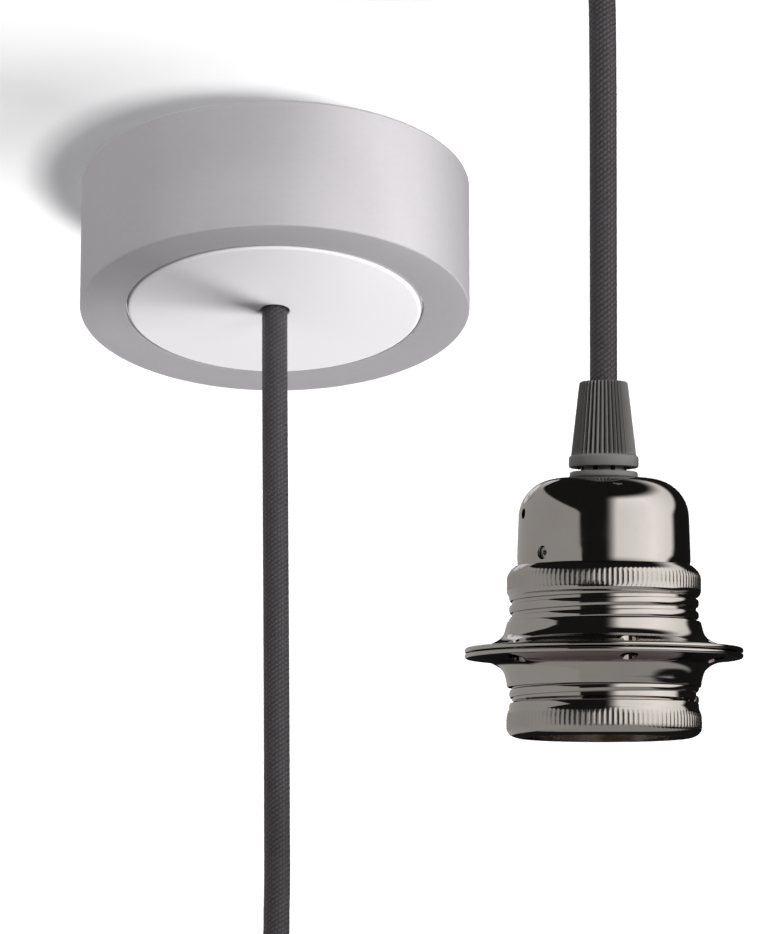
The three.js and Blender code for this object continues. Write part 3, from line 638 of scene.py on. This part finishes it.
def smooth_line(points, spacing):
    """Even points along a smooth curve through the chosen ones, and the curve's length."""
    fine = 24
    ends = [2 * points[0] - points[1]] + points + [2 * points[-1] - points[-2]]
    dense = []
    for a, b, c, d in zip(ends, ends[1:], ends[2:], ends[3:]):
        times = [0.0]
        for first, second in ((a, b), (b, c), (c, d)):
            times.append(times[-1] + max((second - first).length, 1e-6) ** 0.5)
        t0, t1, t2, t3 = times
        for i in range(fine):
            t = t1 + (t2 - t1) * i / fine
            ab = a * ((t1 - t) / (t1 - t0)) + b * ((t - t0) / (t1 - t0))
            bc = b * ((t2 - t) / (t2 - t1)) + c * ((t - t1) / (t2 - t1))
            cd = c * ((t3 - t) / (t3 - t2)) + d * ((t - t2) / (t3 - t2))
            abc = ab * ((t2 - t) / (t2 - t0)) + bc * ((t - t0) / (t2 - t0))
            bcd = bc * ((t3 - t) / (t3 - t1)) + cd * ((t - t1) / (t3 - t1))
            dense.append(abc * ((t2 - t) / (t2 - t1)) + bcd * ((t - t1) / (t2 - t1)))
    dense.append(points[-1])
    lengths = [0.0]
    for first, second in zip(dense, dense[1:]):
        lengths.append(lengths[-1] + (second - first).length)
    count = round(lengths[-1] / spacing)
    line, k = [], 0
    for i in range(count + 1):
        want = lengths[-1] * i / count
        while k < len(lengths) - 2 and lengths[k + 1] < want:
            k += 1
        share = (want - lengths[k]) / max(lengths[k + 1] - lengths[k], 1e-9)
        line.append(dense[k].lerp(dense[k + 1], min(max(share, 0), 1)))
    return line, lengths[-1]


def tube(name, line, radius, sides):
    """A tube along a line, with a map of its girth and its length in metres."""
    side = Vector((0, 1, 0)).cross(line[1] - line[0]).normalized()
    points, faces, rings = [], [], len(line)
    for i, centre in enumerate(line):
        heading = (line[min(i + 1, rings - 1)] - line[max(i - 1, 0)]).normalized()
        side = (side - heading * side.dot(heading)).normalized()
        other = heading.cross(side)
        for j in range(sides):
            angle = 2 * math.pi * j / sides
            points.append(centre + (side * math.cos(angle) + other * math.sin(angle)) * radius)
    for i in range(rings - 1):
        for j in range(sides):
            k = (j + 1) % sides
            faces.append((i * sides + j, i * sides + k, (i + 1) * sides + k, (i + 1) * sides + j))
    faces.append(tuple(reversed(range(sides))))
    faces.append(tuple((rings - 1) * sides + j for j in range(sides)))
    mesh = bpy.data.meshes.new(name)
    mesh.from_pydata([tuple(point) for point in points], [], faces)
    spacing = (line[1] - line[0]).length
    layer = mesh.uv_layers.new(name="length")
    for n, face in enumerate(mesh.polygons):
        if n >= (rings - 1) * sides:
            continue
        i, j = divmod(n, sides)
        for loop, (u, v) in zip(face.loop_indices, ((j, i), (j + 1, i), (j + 1, i + 1), (j, i + 1))):
            layer.data[loop].uv = (u / sides, v * spacing)
    piece = bpy.data.objects.new(name, mesh)
    bpy.context.collection.objects.link(piece)
    return piece


# The cord's route: out of the rose, round the tied coil, over the ceiling hook and into the holder.
# The coil's start and end are degrees, its lanes are radius and depth, and the cord keeps to a lane
# for LANE_STRAIGHT of a turn before it crosses to the next
ROSE_RUN = [
    (0, 0, SHEATH_END), (0, 0, -20), (0, 0, -34), (0.2, 0, -60), (0.5, 0, -90),
    (0.8, -0.1, -120), (1.05, -0.3, -150), (1.1, -0.8, -172), (0.6, -1.4, -181),
]
COIL_CENTRE = Vector((17, 0, -224))
COIL_START = 43
COIL_END = 180 + 4 * 360
COIL_STEPS = 78
LANE_STRAIGHT = 0.7
COIL_LANES = [(34.3, -2.8), (34.3, 2.8), (29.4, 5.6), (29.4, 0), (29.4, -5.6)]
SLACK_RUN = [
    (23.5, -7.6, -253.4), (31, -12, -253.8), (44, -16.5, -259.5), (61, -28, -270), (82, -54, -280),
    (99, -89, -278), (109, -120, -262), (113.4, -139, -236), (114.3, -144.4, -205),
    (114.2, -145, -160), (114.1, -145, -100), (114.1, -145, -55),
]
HOOK_X, HOOK_CORD_Y, HOOK_CORD_Z = 91.6, -145.0, -9.0
HOOK_ARCH_DROP = 17
HOLDER_RUN = [(69.1, -145, -30), (69.1, -145, -35), (69.1, -144.6, -41), (69.1, -143.4, -48)]


def coil_run():
    """The turns of the coil, each lane a cord's thickness from the next."""
    points = []
    last = len(COIL_LANES) - 1
    for i in range(COIL_STEPS + 1):
        angle = COIL_START + (COIL_END - COIL_START) * i / COIL_STEPS
        lane = len(COIL_LANES) * i / COIL_STEPS
        k = min(int(lane), last)
        share = min(max((lane - k - LANE_STRAIGHT) / (1 - LANE_STRAIGHT), 0), 1) if k < last else 0
        share = share * share * (3 - 2 * share)
        here, ahead = COIL_LANES[k], COIL_LANES[min(k + 1, last)]
        radius = here[0] + (ahead[0] - here[0]) * share
        depth = here[1] + (ahead[1] - here[1]) * share
        a = math.radians(angle)
        points.append(COIL_CENTRE + Vector((-radius * math.sin(a), depth, radius * math.cos(a))))
    return points


def hook_arch():
    """Half an oval over the hook, from the slack's side to the holder's."""
    radius = HOOK_X - HOLDER_SPOT.x
    angles = [math.radians(15 * i) for i in range(13)]
    return [
        (HOOK_X + radius * math.cos(a), HOOK_CORD_Y, HOOK_CORD_Z - HOOK_ARCH_DROP * (1 - math.sin(a)))
        for a in angles
    ]


def make_cord():
    """The whole cord as one tube, with its ties."""
    heights = (GRIP_TOP + 22, GRIP_TOP + 8, GRIP_TOP - 8, CORD_IN_HOLDER)
    along = [HOLDER @ Vector((0, 0, z * MM)) / MM for z in heights]
    route = ROSE_RUN + coil_run() + SLACK_RUN + hook_arch() + HOLDER_RUN + along
    line, length = smooth_line([Vector(point) * MM for point in route], 0.8 * MM)
    cord = tube("textile_cord", line, CORD / 2 * MM, 16)
    cord.visible_glossy = False
    finish(cord, "textile", "cord_from_rose", "cord_coil", "cord_to_holder", smooth=60)
    make_ties()


def make_ties():
    """Two bands round the coil: a rounded block, its ends inset and bridged into a hole."""
    ties = []
    wall, inner, corner, width = 0.9, (6.3, 9.3), 3.6, 6.0
    middle_lane = 31.9
    for i in range(2):
        low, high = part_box("coil_tie_%d" % (i + 1))
        middle = (Vector(low) + Vector(high)) / 2
        centre = COIL_CENTRE * MM
        out = Vector((middle.x - centre.x, 0, middle.z - centre.z)).normalized()
        along = Vector((-out.z, 0, out.x))
        bpy.ops.object.select_all(action="DESELECT")
        bpy.ops.mesh.primitive_cube_add(size=1, location=(0, 0, 0))
        tie = bpy.context.object
        tie.name = "coil_band_%d" % (i + 1)
        tie.scale = Vector((2 * (inner[0] + wall), 2 * (inner[1] + wall), width)) * MM
        bpy.ops.object.transform_apply(scale=True)
        edit(tie)
        bpy.ops.mesh.select_mode(type="EDGE")
        bpy.ops.mesh.select_all(action="DESELECT")
        leave_edit()
        for edge in tie.data.edges:
            one, two = (tie.data.vertices[k].co for k in edge.vertices)
            edge.select = abs(one.z - two.z) > width * MM / 2
        bpy.ops.object.mode_set(mode="EDIT")
        bpy.ops.mesh.bevel(offset=(corner + wall) * MM, segments=6, affect="EDGES")
        bpy.ops.mesh.select_mode(type="FACE")
        bpy.ops.mesh.select_all(action="DESELECT")
        leave_edit()
        for face in tie.data.polygons:
            face.select = abs(face.normal.z) > 0.9
        bpy.ops.object.mode_set(mode="EDIT")
        bpy.ops.mesh.inset(thickness=wall * MM)
        bpy.ops.mesh.bridge_edge_loops()
        leave_edit()
        tidy(tie)
        apply_modifier(tie, "BEVEL", width=0.25 * MM, segments=2, limit_method="ANGLE")
        stand = Matrix((out, (0, 1, 0), along)).transposed().to_4x4()
        place(tie, Matrix.Translation(centre + out * (middle_lane * MM)) @ stand)
        finish(tie, "tie", "coil_tie_%d" % (i + 1))
        ties.append(tie)
    return ties


def make_rose():
    """Ceiling rose: the spun ring with its two screw holes, and the disc with its boss."""
    bottom = -ROSE_HEIGHT
    face = bottom + ROSE_WALL
    ring = turned("spun_ring", outline([
        (ROSE_OPENING, bottom, 0.3), (ROSE_RADIUS, bottom, 0.35), (ROSE_RADIUS, 0, 0.2),
        (ROSE_RADIUS - ROSE_WALL, 0), (ROSE_RADIUS - ROSE_WALL, face), (ROSE_OPENING, face),
    ]))
    drill(ring, *[
        side_rod(1.8, ROSE_RADIUS - 3.6, ROSE_RADIUS + 1, ROSE_SCREW_HEIGHT, turn) for turn in (90, 270)
    ])
    finish(ring, "aluminium", "rose_ring")
    disc = ROSE_OPENING - DISC_GAP
    low = bottom - DISC_PROUD
    hole = CORD / 2 + 0.35
    back = face + 0.3
    cover = turned("cover_disc", outline([
        (hole, low, 0.5), (disc, low, 1.1), (disc, back), (disc + 2.4, back),
        (disc + 2.4, back + 1.2), (disc - 2.4, back + 1.2), (disc - 2.4, low + 2.2, 0.8),
        (hole + 2.6, low + 2.2, 0.6), (hole + 2.6, back + 4.2, 0.3), (hole, back + 4.2),
    ]))
    finish(cover, "white", "rose_cover_disc")


def make_shell():
    """Threaded shell: fluted rim, plain tube and a screw thread round it."""
    root = 18.85
    body = turned("threaded_shell_body", [
        (17.9, -9.9), (root - 0.3, -9.9), (root, -9.5), (root, 11.4), (19.2, 11.5), (19.4, 11.65),
        (19.7, 12.05), (19.84, 12.5), (19.87, 12.85), (19.87, 13.0), (19.87, 14.0), (19.87, 15.0),
        (19.82, 15.6), (19.62, 16.15), (19.5, 16.35), (19.25, 16.75), (18.85, 17.2), (18.4, 17.6),
        (18.15, 17.8), (18.0, 17.75), (18.0, 16.3), (17.9, 16.3),
    ], 4 * FLUTES)
    flute(body, FLUTES, *SHELL_FLUTES, FLUTE_FLOOR, FLUTE_DEPTH)
    ridge = thread("ridge", root, height=0.58, width=1.9, pitch=2.47, bottom=-9.56, turns=9)
    finish(join("threaded_shell_body", body, ridge), "chrome", "threaded_shell", holder=True, smooth=30)


def ring_holes():
    """Drills for the six holes of a shade ring, on one circle."""
    tools, circle = [], 23.9 * MM
    for i in range(6):
        angle = math.radians(11 + 60 * i)
        tool = rod("drill", 1.85, -4, 4)
        place(tool, Matrix.Translation((circle * math.sin(angle), -circle * math.cos(angle), 0)))
        tools.append(tool)
    return join("drill", *tools)


def make_shade_rings():
    """Two stamped rings rim to rim, each flaring out from a collar to a turned lip."""
    bore = 19.5
    for node, side, height in (("upper_shade_ring", 1, 6.4), ("lower_shade_ring", -1, 6.9)):
        flare = [
            (bore, 0.12), (28.15, 0.12), (28.35, 0.18), (28.47, 0.32), (28.5, 0.5), (28.48, 0.68),
            (28.42, 0.82), (28.3, 0.97), (28.12, 1.07), (27.9, 1.1), (27.5, 1.06), (27.2, 0.95),
            (26.6, 0.98), (25.5, 1.25), (24.0, 1.62), (23.0, 1.95), (22.0, 2.45), (21.2, 3.0),
            (20.7, 3.6), (20.4, 4.2), (20.2, 4.9), (20.0, 5.7), (19.86, height - 0.2), (19.75, height),
            (bore, height),
        ]
        ring = turned(node + "_fine", [(radius, side * z) for radius, z in flare])
        drill(ring, ring_holes())
        finish(ring, "chrome", node, holder=True)


def make_retaining_ring():
    """Fluted ring at the holder's mouth, which holds the shade rings up."""
    ring = turned("foot_ring", [
        (16.2, -17.35), (16.9, -17.35), (17.7, -17.28), (18.4, -17.1), (19.0, -16.8), (19.45, -16.45),
        (19.75, -16.05), (19.92, -15.7), (19.98, -15.3), (20.0, -15.0), (20.0, -14.0), (19.97, -13.2),
        (19.88, -12.6), (19.75, -12.2), (19.62, -11.9), (19.5, -11.6), (19.42, -11.2), (19.38, -10.5),
        (19.2, -10.2), (17.6, -10.2), (17.6, -8.0), (16.2, -8.0),
    ], 4 * FLUTES)
    flute(ring, FLUTES, *RING_FLUTES, FLUTE_FLOOR, FLUTE_DEPTH)
    finish(ring, "chrome", "retaining_ring", holder=True, smooth=30)


def make_dome():
    """Dome cap with two vent holes across from each other, and its locking screw."""
    wall, bend, corner = 1.1, 8.0, (9.45, 27.7)
    vent_height, vent_turn, screw_height, screw_turn = 28.3, -72, 19.9, -46.6
    cap = turned("dome_cover", [
        (16.3, 12.6), (17.3, 12.6), (17.3, 16.6), (17.4, 16.6), (17.55, 17.8), (17.7, 18.6),
        (17.74, 19.4), (17.7, 21.0), (17.6, 24.0),
        *arc(*corner, bend, 0, 90, 20), (5.3, 35.7), (5.2, 35.6), (5.2, 34.6),
        *arc(*corner, bend - wall, 90, 0, 10), (16.3, 16.6),
    ])
    drill(
        cap,
        side_rod(1.1, 9, 19, vent_height, vent_turn), side_rod(1.1, 9, 19, vent_height, vent_turn + 180),
        side_rod(1.4, 9, 19, screw_height, screw_turn),
    )
    finish(cap, "chrome", "dome_cap", holder=True)
    screw = side_rod(1.22, 14.8, 16.9, screw_height, screw_turn)
    drill(screw, side_rod(0.6, 15.8, 18, screw_height, screw_turn, 6))
    finish(screw, "steel", "dome_lock_screw", holder=True)


def make_grip():
    """Cord grip: a ring and slit collet below, and a ribbed cone screwed over them."""
    foot = 36.0
    ring_top = 37.2
    collar = 38.1
    cone = 40.5
    base = turned("grip_base", outline([
        (3.2, 30.3), (4.9, 30.3), (4.9, foot), (7.0, foot, 0.25), (6.95, ring_top, 0.3),
        (4.7, ring_top), (4.7, 40.2), (4.3, 40.6), (3.9, 47.1), (3.2, 47.1),
    ], 3), MIDDLE)
    slits = []
    for i in range(8):
        tool = bar("drill", (0, -0.5, ring_top + 0.15), (9, 0.5, 48))
        place(tool, Matrix.Rotation(math.radians(22.5 + 45 * i), 4, "Z"))
        slits.append(tool)
    drill(base, *slits)
    finish(base, "nylon", "cord_grip_base", holder=True)
    sleeve = turned("grip_sleeve", [
        (5.6, collar), (6.8, collar), (7.05, collar + 0.1), (7.15, collar + 0.35), (7.15, cone - 0.5),
        (7.08, cone - 0.25), (6.9, cone - 0.05), (6.72, cone), (6.68, cone + 0.25), (6.6, cone + 0.9),
        (5.05, 54.9), (4.98, 55.35), (4.85, 55.6), (4.65, 55.75), (4.4, 55.8), (3.4, 55.8), (3.2, 55.6),
        (3.2, 48.5), (4.7, 47.4), (5.6, 41.0),
    ], 4 * GRIP_RIBS)
    flute(sleeve, GRIP_RIBS, *RIB_SPAN, 4.8, 0.5)
    finish(sleeve, "nylon", "cord_grip_sleeve", holder=True, smooth=40)


def make_insides():
    """What the open mouth shows: the porcelain, and the lamp sleeve with its rolled thread."""
    cup = turned("porcelain_cup", outline([
        (14.9, -7.7, 0.4), (17.2, -7.7, 0.8), (17.2, 12.6, 1.0), (1.7, 12.6, 0.2), (1.7, 5.4),
        (14.9, 5.4, 0.6),
    ]), MIDDLE)
    finish(cup, "porcelain", "porcelain_insulator", holder=True)
    wall, top, crest, pitch, depth, steps = 0.4, 5.1, 13.6, 3.6, 0.35, 8
    waves, down, up = 4, [], []
    for i in range(waves * steps + 1):
        z = top - 1.2 - waves * pitch * i / (waves * steps)
        r = crest - depth * (1 - math.cos(2 * math.pi * i / steps))
        down.append((r, z))
        up.append((r + wall, z))
    rim = [(13.9, top), (10.6, top), (10.6, top - wall)]
    sleeve = turned("lamp_sleeve", [*rim, *down, *reversed(up)], MIDDLE)
    for point in sleeve.data.vertices:
        x, y, z = point.co / MM
        below_rim = top - 1.0 - z
        if below_rim > 0:
            turn = math.atan2(y, x) / (2 * math.pi)
            point.co.z += pitch * MM * turn * min(1, below_rim / 3)
    finish(sleeve, "brass", "lamp_screw_sleeve", holder=True)


def make_hook():
    """Ceiling hook: a turned foot and a bent wire that carries the cord."""
    foot = turned("hook_foot", outline([
        (0.3, -2.4), (5.6, -2.4, 0.8), (8.0, -1.0, 0.5), (8.0, 0.0), (0.3, 0.0),
    ]), SMALL)
    wire_r, bow, play = 1.7, 6.0, 0.6
    stem = HOOK_CORD_Y + bow
    place(foot, Matrix.Translation(Vector((HOOK_X, stem, 0)) * MM))
    centre = Vector((HOOK_X, HOOK_CORD_Y, HOOK_CORD_Z - CORD / 2 - play - wire_r + bow)) * MM
    top = Vector((HOOK_X, stem, -1.2)) * MM
    bpy.ops.object.select_all(action="DESELECT")
    bpy.ops.mesh.primitive_circle_add(vertices=24, radius=wire_r * MM, location=top)
    wire = bpy.context.object
    wire.name = "hook_wire"
    bpy.ops.object.transform_apply(location=True)
    edit(wire)
    bpy.ops.mesh.select_all(action="SELECT")
    bpy.ops.mesh.extrude_edges_move(TRANSFORM_OT_translate={"value": (0, 0, centre.z - top.z)})
    bpy.ops.mesh.spin(steps=36, angle=math.pi, center=centre, axis=(1, 0, 0))
    bpy.ops.mesh.select_all(action="SELECT")
    bpy.ops.mesh.fill_holes(sides=0)
    leave_edit()
    tidy(wire)
    apply_modifier(wire, "BEVEL", width=0.5 * MM, segments=3, limit_method="ANGLE")
    finish(join("swag_hook", foot, wire), "steel", "ceiling_hook")


def dress_nodes():
    """The solids that stay as they are get their finish."""
    kept = ("aluminium", "white", "steel", "brass", "block", "brown", "blue", "earth")
    finishes = {SLOTS[paint]: paint for paint in kept}
    slots = {part["node"]: part["material_slot"] for part in frame["record"]["subparts"]}
    for name, slot in slots.items():
        node = bpy.data.objects.get(name)
        if node is None or slot not in finishes:
            continue
        for holder in node.material_slots:
            holder.material = PAINTS[finishes[slot]]


def make_ceiling():
    """The ceiling, drawn only from below, for the camera alone and with a faint glow."""
    bpy.ops.object.select_all(action="DESELECT")
    bpy.ops.mesh.primitive_plane_add(size=1, location=(0, 0, CEILING_HEIGHT))
    plane = bpy.context.object
    plane.name = "ceiling_plane"
    plane.scale = (2 * CEILING_REACH, 2 * CEILING_REACH, 1)
    bpy.ops.object.transform_apply(location=True, scale=True)
    paint = Paint("ceiling_plane")
    tree = paint.tree
    paint.set(Base_Color=shade(*CEILING_COLOUR), Roughness=1.0, Specular_IOR_Level=0.0,
              Emission_Color=shade(1, 1, 1), Emission_Strength=CEILING_GLOW)
    from_above = 1 - paint.add("ShaderNodeNewGeometry", output="Backfacing")
    clear = tree.nodes.new("ShaderNodeBsdfTransparent")
    mixer = tree.nodes.new("ShaderNodeMixShader")
    paint.feed(mixer.inputs[0], from_above)
    tree.links.new(paint.shader.outputs[0], mixer.inputs[1])
    tree.links.new(clear.outputs[0], mixer.inputs[2])
    tree.links.new(mixer.outputs[0], tree.nodes["Material Output"].inputs["Surface"])
    plane.data.materials.append(paint.material)
    plane.visible_glossy = False
    plane.visible_diffuse = False
    plane.visible_shadow = False


def lamp(name, spot, size, power):
    """A soft lamp that the metal doesn't mirror."""
    data = bpy.data.lights.new(name, "AREA")
    data.shape = "RECTANGLE"
    data.size, data.size_y = size
    data.energy = power
    light = bpy.data.objects.new(name, data)
    bpy.context.collection.objects.link(light)
    light.location = spot
    aim = Vector(LAMP_AIMS[name]) - Vector(spot)
    light.rotation_euler = aim.to_track_quat("-Z", "Y").to_euler()
    light.visible_glossy = False


def make_world():
    """White for the camera, soft grey for shade, and a studio of panels for the metal."""
    world = bpy.context.scene.world or bpy.data.worlds.new("studio")
    bpy.context.scene.world = world
    world.use_nodes = True
    tree = world.node_tree
    paint = Paint(tree=tree)
    straight = paint.add("ShaderNodeTexCoord", output="Generated")
    leaned = paint.add(
        "ShaderNodeMapping", {"vector_type": "POINT"},
        {"Vector": straight, "Rotation": (-HOLDER_LEAN, 0, 0)},
    )
    x, y, z = [paint.add("ShaderNodeSeparateXYZ", None, {0: leaned}, name) for name in "XYZ"]
    # the bright panel on the right: soft on its left side, slanted at its far edge
    ramp = x.step(-0.06, 0.32)
    right = ramp * ramp * (z * 0.876 + 0.16 - y).step(-0.1, 0.1)
    right = right * (1 - z.step(0.64, 0.84)) * z.step(-0.3, -0.12)
    fade = 1 - (y + 0.35).size() * 0.35
    # the dimmer panel on the left, a plane beside the holder with a slanted top
    side = (x * -1.0).most(0.02)
    depth = y / side
    rise = z / side
    left = (x * -1.0).step(0.02, 0.06) * depth.step(-1.75, -1.55) * (1 - depth.step(7, 12))
    left = left * ((depth + 1.64) * 0.366 + 0.2 - rise).step(-0.05, 0.05) * rise.step(-1.6, -1.2)
    # the pale table below, open at the back and on the right
    table = (1 - z.step(-0.34, -0.22)) * (1 - y.step(0.4, 0.6)) * (1 - x.step(0.75, 0.9))
    level = 0.012 + (right * fade * 1.35 + left * 0.4).most(table * 0.36)
    studio = paint.add("ShaderNodeCombineColor", None, {0: level, 1: level * 0.975, 2: level * 0.94})
    is_camera = paint.add("ShaderNodeLightPath", output="Is Camera Ray")
    is_glossy = paint.add("ShaderNodeLightPath", output="Is Glossy Ray")
    colour = paint.mix(is_glossy, shade(*SHADE_LIGHT), studio)
    sky = tree.nodes["Background"].inputs
    paint.feed(sky["Color"], paint.mix(is_camera, colour, shade(1, 1, 1)))
    paint.feed(sky["Strength"], 1.0)


def make_stage():
    """The ceiling and the lamps."""
    make_ceiling()
    for name, (spot, size, power) in LAMPS.items():
        lamp(name, spot, size, power)


make_camera()
make_cord()
make_rose()
make_shell()
make_shade_rings()
make_retaining_ring()
make_dome()
make_grip()
make_insides()
make_hook()
dress_nodes()
make_world()
make_stage()
scene = bpy.context.scene
scene.view_settings.view_transform = "Standard"
